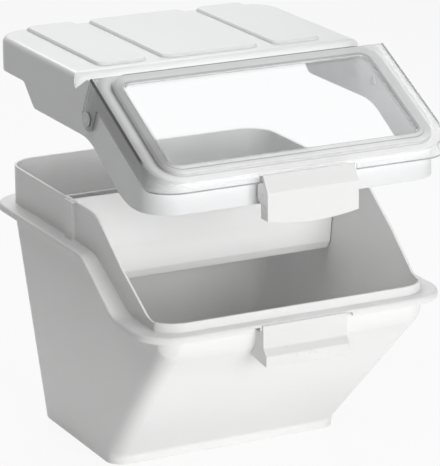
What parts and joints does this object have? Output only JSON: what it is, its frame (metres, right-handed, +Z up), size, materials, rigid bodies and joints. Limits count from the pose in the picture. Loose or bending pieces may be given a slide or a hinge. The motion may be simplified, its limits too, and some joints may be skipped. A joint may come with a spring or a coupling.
{
  "type": "ingredient bin",
  "caption": "Free-standing white ingredient bin with a sloping scoop mouth, a lift-out flow baffle and a lift-off lid with a clear hinged front flap.",
  "frame": {"origin": "centre of the flat base, on the surface the bin stands on", "axes": "+Z up, -Y towards the scoop mouth at the front, +X to the right of someone facing the back of the bin from its front"},
  "size_m": [0.4, 0.492, 0.4991],
  "materials": {
    "white_plastic": "satin moulded polypropylene",
    "lid_plastic": "satin moulded plastic",
    "clear_plastic": "clear moulded polycarbonate",
    "pin_plastic": "moulded"
  },
  "bodies": {
    "bin": {"bin_body": "white_plastic", "front_pull": "white_plastic"},
    "baffle": {"flow_baffle": "white_plastic"},
    "lid": {"lid_cover": "lid_plastic", "hinge_pin_left": "pin_plastic", "hinge_pin_right": "pin_plastic"},
    "flap": {"front_flap": "clear_plastic", "flap_handle": "white_plastic"}
  },
  "joints": [
    {"name": "lid_lift", "type": "slide", "parent": "bin", "child": "lid", "axis": [0, 0, 1], "range_m": [-0.142, 0]},
    {"name": "flap_hinge", "type": "hinge", "parent": "lid", "child": "flap", "pos_m": [0, -0.141, 0.448], "axis": [-1, 0, 0], "range_deg": [0, 62]},
    {"name": "baffle_lift", "type": "slide", "parent": "bin", "child": "baffle", "axis": [0, 0, 1], "range_m": [0, 0.016]}
  ]
}
